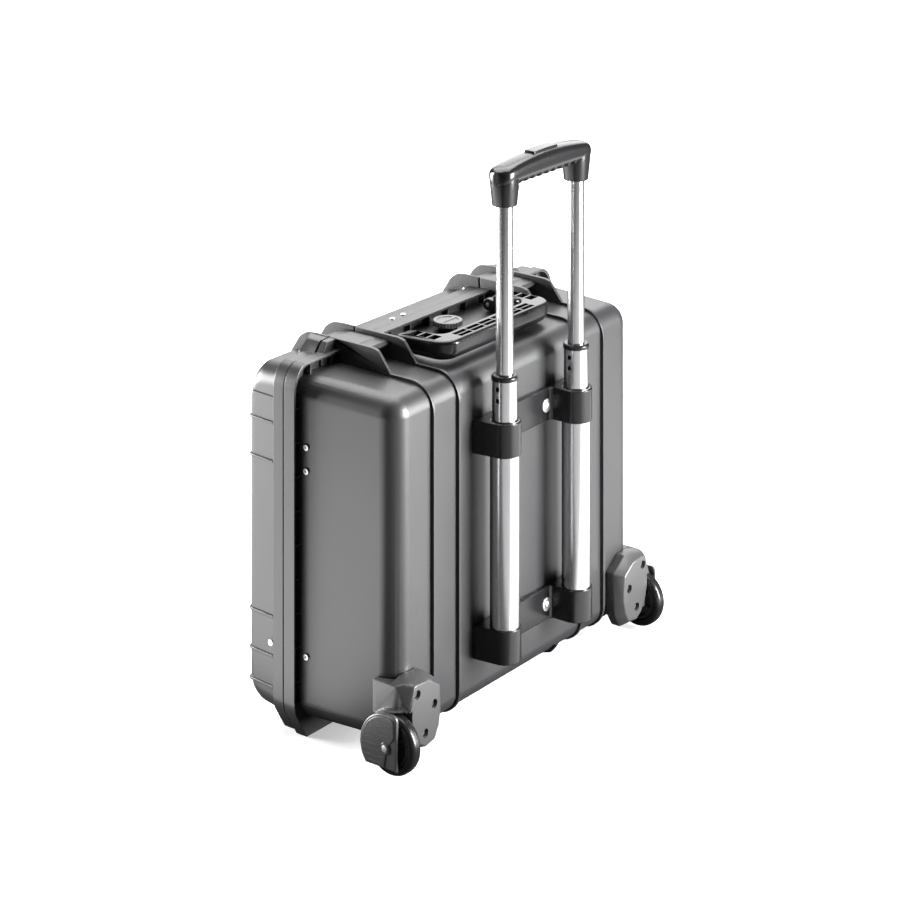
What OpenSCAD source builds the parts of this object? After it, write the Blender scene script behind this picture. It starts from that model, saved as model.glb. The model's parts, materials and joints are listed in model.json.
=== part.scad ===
// Rolling hard equipment case: ribbed base and lid shells, two latches, a
// folding carry handle, a purge valve, a two-stage trolley and two wheels.
// Frame: +X to one side, -Y to the lid, +Y to the trolley, +Z up, floor at z = 0.

/* [Shells] */
// Half width of the base shell where it meets its flange
body_half = 248.5; // [230:0.5:260]
// How much narrower each side is at the back face
side_draft = 6.5; // [2:0.5:10]
// Height of the underside of the base shell at the back
body_low = 24.8; // [20:0.2:30]
// Height of the top face of the base shell at the back
body_top = 422; // [400:1:440]
// Depth of the back face from the frame's middle plane
back_y = 85.7; // [80:0.1:90]
// Depth of the lid's front face from the middle plane
lid_y = 135; // [130:0.5:135]
// Wall thickness of both shells
wall = 4; // [3:0.5:5]
// How far the ribs stand proud of the shells
rib_proud = 4.4; // [3:0.2:5]
// Thickness of the ribs and guard fins
rib_w = 4.4; // [3:0.2:6]

/* [Flange] */
// Half width over the sealing flange
flange_half = 260.3; // [258:0.1:264]
// Height of the flange's top edge
flange_top = 440; // [436:1:444]
// Depth of the parting plane between base and lid
part_y = -69.7; // [-75:0.1:-65]
// Thickness of the rubber seal between the two flanges
seal_t = 2.6; // [2:0.1:4]
// Radius of the hinge pins
hinge_pin_r = 2; // [1.5:0.1:2.5]

/* [Carry handle] */
// Half width over the carry handle
handle_half = 112.5; // [105:0.5:118]
// Width of the handle's arms and grip
handle_w = 27; // [22:0.5:30]
// Thickness of the carry handle
handle_t = 25; // [18:0.5:26]

/* [Trolley] */
// Half the distance between the trolley's tubes
tube_x = 74; // [60:0.5:85]
// Depth of the tube centres
tube_y = 116.4; // [112:0.2:117]
// Outer radius of the fixed sleeves
sleeve_r = 17.7; // [16.5:0.1:18.5]
// Outer radius of the middle tubes
mid_r = 15.1; // [14:0.1:15.5]
// Outer radius of the inner tubes
inner_r = 10.5; // [9:0.1:11]
// Height of the top of the middle tubes' collars
collar_top = 418; // [412:1:424]
// Height of the lower end of the grip's sockets
grip_low = 618.5; // [610:0.2:630]
// Travel of the inner tubes into the middle tubes
inner_travel = 196; // [150:1:196]
// Travel of the middle tubes up from where they are shown
mid_rise = 170; // [100:1:175]
// Travel of the middle tubes down from where they are shown
mid_drop = 42; // [30:1:42]

/* [Wheels] */
// Wheel radius
wheel_r = 35; // [33:0.1:35.5]
// Wheel width
wheel_w = 17; // [14:0.5:18]
// Distance of each wheel's middle from the centre plane
wheel_x = 252.8; // [251:0.1:254]
// Depth of the wheel axle
axle_y = 91.4; // [90:0.1:93]
// Height that the wheels clear the floor by while the case stands upright
wheel_clear = 4.4; // [3:0.1:5]
// Radius of the axle pins
axle_r = 4; // [3:0.1:5]

/* [Hidden] */

fine = 48;         // facets of machined rounds
soft = 32;         // facets of moulded corners inside a hull
gap = 0.3;         // running space between moving pieces
fit = 0.05;        // radial clearance of a pin in its bore
eps = 0.01;

sides = [-1, 1];
base_face_y = part_y + seal_t / 2;
lid_face_y = part_y - seal_t / 2;
flange_back_y = -52;      // back edge of the base flange
lid_flange_y = -87;       // front edge of the lid flange
flange_skirt = 3.2;       // thickness of the base flange's outer wall
flange_web = 6;           // solid depth of the base flange behind the seal
top_slope = 3;            // the top face falls this much from flange to back
corner_r = 26;            // radius of the shells' rear corners
edge_r = 24;              // radius of the long corners seen from the back
lid_half = 252.2;         // the lid's own half width at its flange
lid_draft = 5.2;          // how much narrower each side is at the front
lid_corner_r = 8;         // radius of the upright front corners
lid_top = 433;            // the lid's top where it meets the flange
lid_low = 18;
lid_foot = 4.4;           // lower edge of the lid's flange

hinge_r = 5;              // radius of the hinge knuckles
hinge_y = part_y;
hinge_z = hinge_r;
hinge_x = [-150, 150];    // middles of the two hinges
knuckle_w = 15;
knuckle_gap = 0.4;

fin_x = [125.8, 174.6];   // inner and outer guard fins and ribs
fin_top = 452.2;

latch_mid = (fin_x[0] + fin_x[1]) / 2;
latch_w = fin_x[1] - fin_x[0] - rib_w - 1.6;
latch_pin_y = -92.6;
latch_pin_z = 431.8;
latch_pin_r = 2.5;
latch_top = 446.8;
latch_end_y = -15;
hook_room = 0.9;          // room for the latch hook to swing past the base flange

pivot_y = -28;            // carry handle pivot
pivot_z = 434.5;
pivot_r = 7.6;            // radius of the handle's pivot ends
ear_w = 9;                // the base's ear inside each pivot end
handle_low = 426.2;
handle_out_y = 59;        // outer edge of the folded grip
handle_in = handle_half - handle_w;
handle_pin_r = 2.6;

valve_y = -25.6;
valve_r = 12;
knob_r = 18.3;
knob_low = 431.4;
knob_top = 437.5;

bracket_h = 40;
lower_z = 80;
upper_z = 323.7;
boss_r = 19.9;
lid_front_y = -tube_y - boss_r;  // front of the lid's long ribs, level with the bosses
rivet_x = 44.7;           // bracket rivets, beside the bosses
rivet_rise = 19.5;
plate_y = 92.6;           // outer face of the bracket plates
sleeve_low = 84;
sleeve_bore = 16.2;
mid_bore = 13.4;
mid_top = 412;
mid_low = 130;
inner_bore = 8.8;
inner_low = 345;
grip_mid_z = 671.2;       // top of the grip at its middle
grip_end_z = 666.4;       // top of the grip over the tubes
grip_under_z = 643;       // underside of the grip between its finger ripples
grip_r = 17;              // radius of the grip's round ends
socket_r = 14.4;          // radius at the lower end of the grip's sockets

axle_z = wheel_r + wheel_clear;
guard_r = wheel_r + 3;
guard_x = [264, 269.3];   // inner and outer face of the wheel guard
guard_back_y = 107;       // back edge of the wheel guard
guard_low = 15.5;         // flat lower edge of the wheel guard
housing_back_y = 110.2;

black_plastic = [0.09, 0.09, 0.10];
shell_grey = [0.20, 0.20, 0.21];
bright = [0.80, 0.81, 0.83];
rubber_black = [0.04, 0.04, 0.04];

// ---------- helpers ----------

// Points of an elliptical arc
function arc(cx, cy, rx, ry, from, to, n) =
    [for (i = [0:n]) let (a = from + (to - from) * i / n) [cx + rx * cos(a), cy + ry * sin(a)]];

// Points of a rectangle with round corners, from low corner to high corner
function round_rect(x0, y0, x1, y1, r, n = 8) = concat(
    arc(x1 - r, y0 + r, r, r, -90, 0, n), arc(x1 - r, y1 - r, r, r, 0, 90, n),
    arc(x0 + r, y1 - r, r, r, 90, 180, n), arc(x0 + r, y0 + r, r, r, 180, 270, n));

// Extrudes an outline drawn in X and Z from depth y0 to y1
module along_y(y0, y1) {
    translate([0, y1, 0]) rotate([90, 0, 0]) linear_extrude(y1 - y0) children();
}

// Extrudes an outline drawn in Y and Z from x0 to x1
module along_x(x0, x1) {
    translate([x0, 0, 0]) rotate([90, 0, 90]) linear_extrude(x1 - x0) children();
}

// A cylinder along X
module rod_x(x0, x1, y, z, r) {
    translate([x0, y, z]) rotate([0, 90, 0]) cylinder(h = x1 - x0, r = r, $fn = fine);
}

// A cylinder along Y
module rod_y(y0, y1, x, z, r) {
    translate([x, y0, z]) rotate([-90, 0, 0]) cylinder(h = y1 - y0, r = r, $fn = fine);
}

// A cylinder along Z at a trolley tube
module post(side, z0, z1, r) {
    translate([side * tube_x, tube_y, z0]) cylinder(h = z1 - z0, r = r, $fn = fine);
}

// A tube along Z at a trolley tube
module tube(side, z0, z1, r_out, r_in) {
    difference() {
        post(side, z0, z1, r_out);
        post(side, z0 - 1, z1 + 1, r_in);
    }
}

// ---------- shells ----------

// Outline of the flanges, seen from the back, drawn in by `inset`
module flange_outline(inset = 0) {
    w = flange_half - inset;
    t = flange_top - inset;
    chamfer_z = 38;
    foot_x = 237.5 - inset * 0.8;
    right = concat([[foot_x, inset], [w - 2.5, chamfer_z - 5], [w, chamfer_z + 8]],
                   arc(w - 23.3, t - 31, 23.3, 31, 0, 90, 8));
    left = [for (i = [len(right) - 1:-1:0]) [-right[i][0], right[i][1]]];
    polygon(concat(right, left));
}

// Solid of the base shell, shrunk by `inset` on every wall
module base_solid(inset = 0) {
    r = corner_r - inset;
    x = body_half - side_draft - inset - r;
    hull() {
        along_y(base_face_y - (inset > 0 ? 1 : 0), base_face_y + 1)
            polygon(round_rect(-body_half + inset, body_low - top_slope + inset,
                               body_half - inset, body_top + top_slope - inset, edge_r - inset));
        for (sx = sides, z = [body_low + inset + r, body_top - inset - r])
            translate([sx * x, back_y - inset - r, z]) sphere(r = r, $fn = soft);
    }
}

// Solid of the lid shell, shrunk by `inset` on every wall: where its outlines
// seen from the side, from above and from the front meet
module lid_solid(inset = 0) {
    mouth = lid_face_y + (inset > 0 ? 1 : 0);
    front = -lid_y + inset;
    side = lid_half - inset;
    top = lid_top - inset;
    low = lid_low + inset;
    r = lid_corner_r;
    intersection() {
        along_x(-side, side) polygon(concat([[mouth, top], [-108, top - 3.4]],
            arc(front + 22, top - 31.5, 22, 28, 100, 180, 10),
            arc(front + 22, low + 29, 22, 26, 180, 260, 10), [[-108, low + 2.6], [mouth, low]]));
        translate([0, 0, low - 1]) linear_extrude(top - low + 2) polygon(concat(
            [[-side, mouth]], arc(-side + lid_draft + r, front + r, r, r, 182, 270, 6),
            arc(side - lid_draft - r, front + r, r, r, 270, 358, 6), [[side, mouth]]));
        along_y(front - 1, mouth + 1) polygon(round_rect(-side, low - 1, side, top + 1, edge_r));
    }
}

// Side profile of one long rib of the base, with its guard fin on top
module base_rib(x) {
    r = 34;
    rear = back_y + rib_proud;
    top = body_top + rib_proud;
    low = body_low - rib_proud;
    fin = [[base_face_y, body_top - 10], [base_face_y, fin_top], [-4.7, fin_top - 0.4],
           [0, fin_top - 0.8], [6.2, fin_top - 2.6], [24.8, top]];
    wrap = concat(arc(rear - r, top - r, r, r, 90, 0, 8), arc(rear - r, low + r, r, r, 0, -90, 8),
                  [[flange_back_y - 2, low - 2], [flange_back_y - 2, low + 12],
                   [rear - r, low + 12], [rear - 12, low + r], [rear - 12, top - r],
                   [rear - r, top - 12], [30, body_top - 10]]);
    along_x(x - rib_w / 2, x + rib_w / 2) polygon(concat(fin, wrap));
}

// Side profile of one long rib of the lid, with its guard fin on top
module lid_rib(x) {
    along_x(x - rib_w / 2, x + rib_w / 2)
        polygon(concat([[lid_face_y, body_top - 10]], lid_fin(),
                [[lid_front_y, 408], [lid_front_y, 52], [lid_front_y + 6, 33], [-121, 22.6],
                 [lid_flange_y, 19], [lid_flange_y, 32], [-118, 34], [-126, 52], [-126, 396],
                 [-118, 412]]));
}

// Top of a lid fin, from the parting plane to the front
function lid_fin() = [[lid_face_y, fin_top], [-92, fin_top], [-101, fin_top - 0.8], [-107.5, fin_top - 2.2],
    [-113.8, fin_top - 5.8], [-118, fin_top - 10.4], [-127, fin_top - 23.8], [-134.2, fin_top - 35.5]];

// Section of the padlock boss beside an outer guard fin
module lock_section(side) {
    polygon([for (p = [[fin_x[1], 424], [fin_x[1], fin_top - 0.6], [fin_x[1] + 16, fin_top - 1],
                       [fin_x[1] + 18.5, fin_top - 3], [fin_x[1] + 28, 437.4], [fin_x[1] + 28, 424]])
             [side * p[0], p[1]]]);
}

// Padlock boss of the lid, its front sloped like the fin and swept back
module lid_lock_boss(side) {
    sweep = 29;
    intersection() {
        along_y(lid_front_y, lid_face_y) lock_section(side);
        mirror([side > 0 ? 0 : 1, 0, 0]) translate([fin_x[1] + 9.4, 0, 0]) rotate([0, 0, sweep])
            along_x(-20, 80) polygon(concat([for (p = lid_fin()) [p[0] * cos(sweep), p[1]]],
                                            [[-134.2 * cos(sweep), 400], [60, 400], [60, fin_top]]));
    }
}

// Knuckles along one hinge: `own` picks the base's three or the lid's two
module knuckles(own, r, extra) {
    for (hx = hinge_x, i = [own:2:4])
        rod_x(hx + (i - 2.5) * knuckle_w + knuckle_gap / 2 - extra,
              hx + (i - 1.5) * knuckle_w - knuckle_gap / 2 + extra, hinge_y, hinge_z, r);
}

// Webs that tie one shell's knuckles to its flange at depth `y_far`
module knuckle_webs(own, y_far) {
    y0 = min(hinge_y, y_far);
    for (hx = hinge_x, i = [own:2:4])
        translate([hx + (i - 2.5) * knuckle_w + knuckle_gap / 2, y0, 0])
            cube([knuckle_w - knuckle_gap, abs(y_far - hinge_y), 2 * hinge_r]);
}

// Room that both flanges leave around the hinges
module hinge_room() {
    for (hx = hinge_x)
        translate([hx - 2.5 * knuckle_w - 0.2, hinge_y - 5.8, -1])
            cube([5 * knuckle_w + 0.4, 11.6, 11.6]);
}

module hinge_bores() {
    for (hx = hinge_x)
        rod_x(hx - 3 * knuckle_w, hx + 3 * knuckle_w, hinge_y, hinge_z, hinge_pin_r + fit);
}

module base_shell() {
    ear_x = handle_half - handle_w / 2;
    color(shell_grey) difference() {
        union() {
            base_solid();
            difference() {
                along_y(base_face_y, flange_back_y) flange_outline();
                along_y(base_face_y + flange_web, flange_back_y + 1)
                    intersection() {
                        flange_outline(flange_skirt);
                        translate([-300, 46]) square([600, 500]);
                    }
            }
            // Gussets between the flange's skirt and the shell
            for (sx = sides, i = [0:8])
                translate([sx > 0 ? body_half - 1 : -flange_half + 1, base_face_y, 68 + i * 40])
                    cube([flange_half - body_half, 14.5, 2.4]);
            for (i = [-6:6])
                translate([i * 38 - 1.2, base_face_y, body_top]) cube([2.4, 14.5, flange_top - body_top - 1]);
            for (sx = sides, x = fin_x) base_rib(sx * x);
            for (sx = sides) along_y(base_face_y, base_face_y + 9) lock_section(sx);
            // Ears that carry the folding handle
            for (sx = sides)
                along_x(sx * ear_x - ear_w / 2, sx * ear_x + ear_w / 2) {
                    translate([pivot_y, pivot_z]) circle(r = 6.6, $fn = fine);
                    translate([pivot_y - 6.6, body_top - 2]) square([13.2, pivot_z - body_top + 2]);
                }
            // Short foot rib under the back edge
            along_x(-81, -76) polygon([[40, body_low + 2], [40, body_low - 3], [60, body_low - 4.4],
                                       [76, body_low], [86, body_low + 12], [60, body_low + 14]]);
        }
        base_solid(wall);
        hinge_room();
        for (sx = sides) rod_x(sx * ear_x - 6, sx * ear_x + 6, pivot_y, pivot_z, handle_pin_r + fit);
        translate([0, valve_y, body_top - 12]) cylinder(h = 20, r = 8, $fn = fine);
        for (sx = sides, z = [100, 317.4, 345.3])
            rod_x(sx * (body_half - 3) - 8, sx * (body_half - 3) + 8, -44, z, 2.05);
        // Bores in the back wall for the bracket rivets and the housing screws
        for (sx = sides, z = [lower_z, upper_z])
            rod_y(back_y - 2 * wall, back_y + 1, sx * rivet_x, z + rivet_rise, 2 + fit);
        for (sx = sides, p = screw_spots())
            rod_y(back_y - 2 * wall, back_y + 1, sx * p[0], p[1], 2 + fit);
    }
    color(shell_grey) difference() {
        union() {
            knuckles(0, hinge_r, 0);
            knuckle_webs(0, hinge_y + 6.2);
        }
        hinge_bores();
    }
}

module lid_shell() {
    color(shell_grey) difference() {
        union() {
            lid_solid();
            along_y(lid_flange_y, lid_face_y) flange_outline(1.5);
            for (sx = sides, x = fin_x) lid_rib(sx * x);
            for (sx = sides) lid_lock_boss(sx);
            // Ribs that run round the sides and stop at the outer long ribs
            for (z = [50.5, 86.8, 133.3, 316.5, 362.2])
                difference() {
                    translate([0, 0, z]) linear_extrude(3.4)
                        polygon(round_rect(-lid_half + 2.6, lid_front_y, lid_half - 2.6, -60, lid_corner_r));
                    translate([-fin_x[1], -lid_y - 4, z - 1]) cube([2 * fin_x[1], 80, 6]);
                    translate([-300, -91.8, z - 1]) cube([600, 60, 6]);
                }
        }
        lid_solid(wall);
        hinge_room();
        // The flange stops above the hinge axis' depth, so that it clears the base as the lid swings
        translate([-300, lid_flange_y - 1, -1]) cube([600, lid_face_y - lid_flange_y + 2, lid_foot + 1]);
        for (sx = sides, x = fin_x)
            rod_x(sx * x - 4, sx * x + 4, latch_pin_y, latch_pin_z, latch_pin_r + fit);
        // Counterbores for the heads of the latch pins
        for (sx = sides) mirror([sx > 0 ? 0 : 1, 0, 0]) {
            rod_x(fin_x[1] + rib_w / 2, fin_x[1] + rib_w / 2 + 3, latch_pin_y, latch_pin_z, 3.7);
            rod_x(fin_x[0] - rib_w / 2 - 3, fin_x[0] - rib_w / 2, latch_pin_y, latch_pin_z, 3.7);
        }
        // Slots in the lid's top that the latch barrels turn in
        for (sx = sides)
            translate([sx * latch_mid - latch_w / 2 - 0.8, latch_pin_y - 7, latch_pin_z - 6.6])
                cube([latch_w + 1.6, lid_face_y - latch_pin_y + 7, 40]);
        for (sx = sides)
            along_x(sx * latch_mid - latch_w / 2 - 0.8, sx * latch_mid + latch_w / 2 + 0.8)
                translate([latch_pin_y, latch_pin_z])
                    polygon([[-6, -5.8], [-7, -5.4], [-12.8, -2.3], [-12.8, 4], [-6, 4]]);
        for (sx = sides) rod_x(sx * (lid_half - 4) - 8, sx * (lid_half - 4) + 8, -95.4, 105, 2.05);
        for (x = [21, 42]) translate([x, -79.5, body_top]) cylinder(h = 30, r = 2.05, $fn = fine);
    }
    color(shell_grey) difference() {
        union() {
            knuckles(1, hinge_r, 0);
            knuckle_webs(1, hinge_y - 6.2);
        }
        hinge_bores();
    }
}

// Rubber seal that runs round the lid's flange
module lid_gasket() {
    color(rubber_black) difference() {
        along_y(lid_face_y, base_face_y) flange_outline(1.8);
        translate([-240, lid_face_y - 1, 34]) cube([480, seal_t + 2, 386]);
        translate([-240, lid_face_y - 1, -1]) cube([480, seal_t + 2, 14]);
        for (sx = sides)
            translate([sx > 0 ? fin_x[0] - 3 : -fin_x[1] - 3, lid_face_y - 1, 433])
                cube([fin_x[1] - fin_x[0] + 6, seal_t + 2, 20]);
    }
}

module hinge_pins() {
    color(bright)
        for (hx = hinge_x)
            rod_x(hx - 2.5 * knuckle_w + 0.2, hx + 2.5 * knuckle_w - 0.2, hinge_y, hinge_z, hinge_pin_r);
}

// ---------- latches ----------

// One latch, its barrel on the lid's pin and its hook behind the base flange
module latch(side) {
    x0 = side * latch_mid - latch_w / 2;
    x1 = x0 + latch_w;
    hook_y = flange_back_y + hook_room;
    color(black_plastic) difference() {
        union() {
            along_x(x0, x1) polygon([
                [latch_pin_y - 5.4, latch_pin_z], [latch_pin_y - 5, 438], [latch_pin_y - 1, 443.6],
                [latch_pin_y + 8, latch_top - 0.6], [-40, latch_top], [latch_end_y - 4, latch_top - 1],
                [latch_end_y, latch_top - 4], [latch_end_y - 1, latch_top - 6.6], [hook_y + 9, 440.4],
                [hook_y + 6, 433], [hook_y + 4, 428.6], [hook_y, 428.6], [hook_y, flange_top + gap],
                [latch_pin_y + 6, flange_top + gap], [latch_pin_y + 5.4, latch_pin_z]]);
            rod_x(x0, x1, latch_pin_y, latch_pin_z, 5.4);
            // Raised grip panel
            along_x(x0 + 6, x1 - 6) polygon([[-74, latch_top - 1], [-71, latch_top + 1.2],
                [-34, latch_top + 1.2], [-30, latch_top - 1]]);
        }
        rod_x(x0 - 1, x1 + 1, latch_pin_y, latch_pin_z, latch_pin_r + fit);
    }
}

module latch_pins() {
    color(bright)
        for (sx = sides) {
            rod_x(sx * latch_mid - 28.4, sx * latch_mid + 28.4, latch_pin_y, latch_pin_z, latch_pin_r);
            for (end = sides)
                rod_x(sx * latch_mid + end * 27.3 - 0.7, sx * latch_mid + end * 27.3 + 0.7,
                      latch_pin_y, latch_pin_z, 3.6);
        }
}

// ---------- carry handle and valve ----------

module carry_handle() {
    fork = handle_half - handle_w / 2;
    color(black_plastic) difference() {
        union() {
            difference() {
                translate([0, 0, handle_low]) linear_extrude(handle_t)
                    polygon(concat(
                        [[-handle_half, pivot_y], [-handle_half, handle_out_y - 26]],
                        arc(-handle_half + 26, handle_out_y - 26, 26, 26, 180, 90, 8),
                        arc(handle_half - 26, handle_out_y - 26, 26, 26, 90, 0, 8),
                        [[handle_half, pivot_y], [handle_in, pivot_y]],
                        arc(handle_in - 14, handle_out_y - handle_w - 16, 14, 14, 0, 90, 6),
                        arc(-handle_in + 14, handle_out_y - handle_w - 16, 14, 14, 90, 180, 6),
                        [[-handle_in, pivot_y]]));
                // The arms are thinner at their pivots
                translate([-200, pivot_y - 1, pivot_z + pivot_r])
                    rotate([24, 0, 0]) cube([400, 60, 40]);
                // Core pockets in the face that looks up when folded
                for (sx = sides, i = [0:2])
                    translate([sx * fork - 8.5, i * 15 - 3, handle_low + 10]) cube([17, 11.5, 40]);
                for (i = [-2:1], j = [0, 1])
                    translate([i * 34 + 2, handle_out_y - 21.5 + j * 9.5, handle_low + 12])
                        cube([30, 6.5, 40]);
            }
            for (sx = sides) {
                rod_x(sx * fork - handle_w / 2, sx * fork + handle_w / 2, pivot_y, pivot_z, pivot_r);
                translate([sx * fork - handle_w / 2, pivot_y, handle_low + 0.7])
                    cube([handle_w, 16, pivot_r * 2]);
            }
        }
        // Slot for the base's ear, and the pin's bore
        for (sx = sides) {
            translate([sx * fork - ear_w / 2 - gap, pivot_y - 12, handle_low - 1])
                cube([ear_w + 2 * gap, 22, handle_t + 2]);
            rod_x(sx * fork - handle_w, sx * fork + handle_w, pivot_y, pivot_z, handle_pin_r + fit);
        }
    }
}

module handle_pins() {
    color(bright)
        for (sx = sides)
            rod_x(sx * (handle_half - handle_w / 2) - handle_w / 2 - 0.4,
                  sx * (handle_half - handle_w / 2) + handle_w / 2 + 0.4, pivot_y, pivot_z, handle_pin_r);
}

// Threaded body of the pressure valve, seated in the top wall
module valve_body() {
    color(black_plastic) translate([0, valve_y, 0]) difference() {
        union() {
            translate([0, 0, body_top + 2.9]) cylinder(h = knob_low - body_top - 3.2, r = valve_r, $fn = fine);
            translate([0, 0, body_top - 8]) cylinder(h = 14, r = 8 - fit, $fn = fine);
        }
        translate([0, 0, body_top - 9]) cylinder(h = 18.6, r = 3.2, $fn = fine);
    }
}

// Knurled purge knob that turns on the valve body
module valve_knob() {
    teeth = 30;
    color(black_plastic) translate([0, valve_y, 0]) {
        translate([0, 0, knob_low]) difference() {
            cylinder(h = knob_top - knob_low, r = knob_r, $fn = fine);
            for (i = [0:teeth - 1])
                rotate(i * 360 / teeth) translate([knob_r + 0.5, 0, -1]) cylinder(h = 10, r = 1.2, $fn = 16);
            translate([0, 0, knob_top - knob_low - 1]) difference() {
                cylinder(h = 3, r = 13.5, $fn = fine);
                translate([-14, -2.4, -1]) cube([28, 4.8, 5]);
            }
        }
    }
}

// ---------- trolley ----------

// Moulded bracket that holds both sleeves, `low` at its underside
module bracket(low) {
    half = concat([[0, back_y + 0.6], [97.6, back_y + 0.6], [tube_x + 19.6, tube_y + 3.2]],
                  arc(tube_x, tube_y, boss_r, boss_r, 10, 180, 20),
                  [[tube_x - boss_r, plate_y], [0, plate_y]]);
    for (sx = sides)
        translate([0, 0, low]) linear_extrude(bracket_h)
            polygon([for (p = half) [sx * p[0], p[1]]]);
}

// Bores for the rivets that hold the brackets
module rivet_bores() {
    for (sx = sides, z = [lower_z, upper_z])
        rod_y(80, plate_y + 1, sx * rivet_x, z + rivet_rise, 2 + fit);
}

module upper_bracket() {
    color(black_plastic) difference() {
        bracket(upper_z);
        for (sx = sides) post(sx, upper_z - 1, upper_z + bracket_h + 1, sleeve_r + fit);
        rivet_bores();
    }
}

module lower_bracket() {
    color(black_plastic) difference() {
        bracket(lower_z);
        for (sx = sides) post(sx, sleeve_low, lower_z + bracket_h + 1, sleeve_r + fit);
        rivet_bores();
    }
}

// Domed rivets with washers that hold the brackets to the base shell
module bracket_rivets() {
    color(bright)
        for (sx = sides, z = [lower_z, upper_z]) {
            rod_y(back_y - wall - 0.2, plate_y + 0.5, sx * rivet_x, z + rivet_rise, 2);
            translate([sx * rivet_x, plate_y, z + rivet_rise]) rotate([-90, 0, 0])
                rotate_extrude($fn = fine) polygon([[0, 0], [8.4, 0], [8.2, 0.9], [4.6, 1.1],
                    [4.2, 2.2], [2.6, 3], [0, 3.2]]);
        }
}

module outer_sleeve(side) {
    color(bright) tube(side, sleeve_low, upper_z + bracket_h, sleeve_r, sleeve_bore);
}

// Guide rings between each sleeve and its middle tube
module sleeve_bushes() {
    color(black_plastic)
        for (sx = sides)
            tube(sx, upper_z + 14, upper_z + bracket_h + 1.4, sleeve_bore - fit, mid_r + fit);
}

module mid_tube(side) {
    color(bright) difference() {
        tube(side, mid_low, mid_top, mid_r, mid_bore);
        // Square detent windows in the tube's side
        for (z = [387.2, 400.4])
            translate([side * tube_x + 8, tube_y - 2.6, z]) cube([14, 5.2, 5.2]);
    }
}

// Black caps on the middle tubes, with a guide ring inside each
module mid_collars() {
    color(black_plastic)
        for (sx = sides)
            translate([sx * tube_x, tube_y, 0]) rotate_extrude($fn = fine)
                polygon([[inner_r + fit, mid_top - 6], [mid_bore - fit, mid_top - 6],
                         [mid_bore - fit, mid_top], [mid_r + 1.1, mid_top], [mid_r + 1.1, collar_top - 2],
                         [mid_r - 0.6, collar_top], [inner_r + fit, collar_top]]);
}

module inner_tube(side) {
    color(bright) tube(side, inner_low, grip_low + 22, inner_r, inner_bore);
}

// Sliding guides fixed on the lower ends of the inner tubes
module inner_guides() {
    color(black_plastic)
        for (sx = sides) difference() {
            union() {
                post(sx, inner_low - 8, inner_low, mid_bore - fit);
                post(sx, inner_low, inner_low + 20, inner_bore - fit);
            }
            post(sx, inner_low - 9, inner_low + 21, 3);
            rod_y(tube_y, tube_y + 20, sx * tube_x, inner_low - 4, 2.4 + fit);
        }
}

// Spring pins that lock the inner tubes in the middle tubes
module lock_pins() {
    color(bright)
        for (sx = sides)
            rod_y(tube_y + 4, tube_y + mid_bore - 0.4, sx * tube_x, inner_low - 4, 2.4);
}

// Top of the grip's arch at distance x from the middle, rounded down at both ends
function arch(x) = grip_mid_z - (grip_mid_z - grip_end_z) * pow(x / tube_x, 2)
    - (abs(x) > 80 ? pow((abs(x) - 80) / 11, 2) * 3.4 : 0);

module trolley_grip() {
    steps = 26;
    strip = 10;         // half width of the flat strip along the top
    under_x = 60;       // the finger ripples end at the sockets
    reach = tube_x + grip_r;
    top = [for (i = [0:steps]) let (x = -reach + 2 * reach * i / steps) [x, arch(x)]];
    ripple = [for (i = [0:42]) let (x = 56 - 112 * i / 42) [x, grip_under_z + 1.3 * cos(x * 22.5)]];
    color(black_plastic) difference() {
        union() {
            intersection() {
                along_y(tube_y - grip_r, tube_y + grip_r)
                    polygon(concat(top, [[reach, 645], [under_x, 645]], ripple,
                                   [[-under_x, 645], [-reach, 645]]));
                translate([0, tube_y, 600]) linear_extrude(100) {
                    square([2 * tube_x, 2 * grip_r], center = true);
                    for (sx = sides) translate([sx * tube_x, 0]) circle(r = grip_r, $fn = 64);
                }
            }
            for (sx = sides)
                translate([sx * tube_x, tube_y, grip_low])
                    cylinder(h = 645 - grip_low, r1 = socket_r, r2 = grip_r, $fn = 64);
        }
        // Shoulders beside the top strip, cut along the chords of the arch
        for (i = [-3:2], m = [0, 1]) {
            chord = reach / 3;
            rise = arch((i + 1) * chord) - arch(i * chord);
            translate([i * chord, tube_y, arch(i * chord)]) mirror([0, m, 0]) rotate([0, -atan2(rise, chord), 0])
                along_x(-1, chord + 1) polygon([[strip, 0], [grip_r + 3, -8.6], [grip_r + 3, 6], [strip, 6]]);
        }
        // Bevels along both lower edges of the finger grip
        for (m = [0, 1])
            translate([0, tube_y, 0]) mirror([0, m, 0]) along_x(-under_x, under_x)
                polygon([[9, 630], [9, grip_under_z + 0.6], [grip_r + 0.5, 652], [grip_r + 0.5, 630]]);
        for (sx = sides) post(sx, grip_low - 1, grip_low + 22, inner_r + fit);
        for (sx = sides) post(sx, grip_low, grip_low + 30, 6);
        // Well for the release button and its cross bar
        translate([-24, tube_y - 8, grip_mid_z - 16]) cube([48, 16, 30]);
        translate([-tube_x - 6, tube_y - 4, grip_mid_z - 26.4]) cube([2 * tube_x + 12, 8, 10.8]);
    }
}

// Push button in the top of the grip
module grip_button() {
    color(black_plastic) {
        along_y(tube_y - 8 + gap, tube_y + 8 - gap)
            polygon(concat([[-24 + gap, grip_mid_z - 10], [24 - gap, grip_mid_z - 10]],
                           [for (i = [0:8]) let (x = (24 - gap) * (1 - i / 4)) [x, arch(x) + 2.2]]));
        translate([-4, tube_y - 4 + gap, grip_mid_z - 20]) cube([8, 8 - 2 * gap, 10.5]);
        translate([-tube_x - 4, tube_y - 4 + gap, grip_mid_z - 21.6]) cube([2 * tube_x + 8, 8 - 2 * gap, 4]);
    }
}

// Rods from the button's cross bar down to the lock pins
module release_rods() {
    color(bright)
        for (sx = sides) post(sx, inner_low + 4, grip_mid_z - 21.6, 2.2);
}

// ---------- wheels ----------

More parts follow.
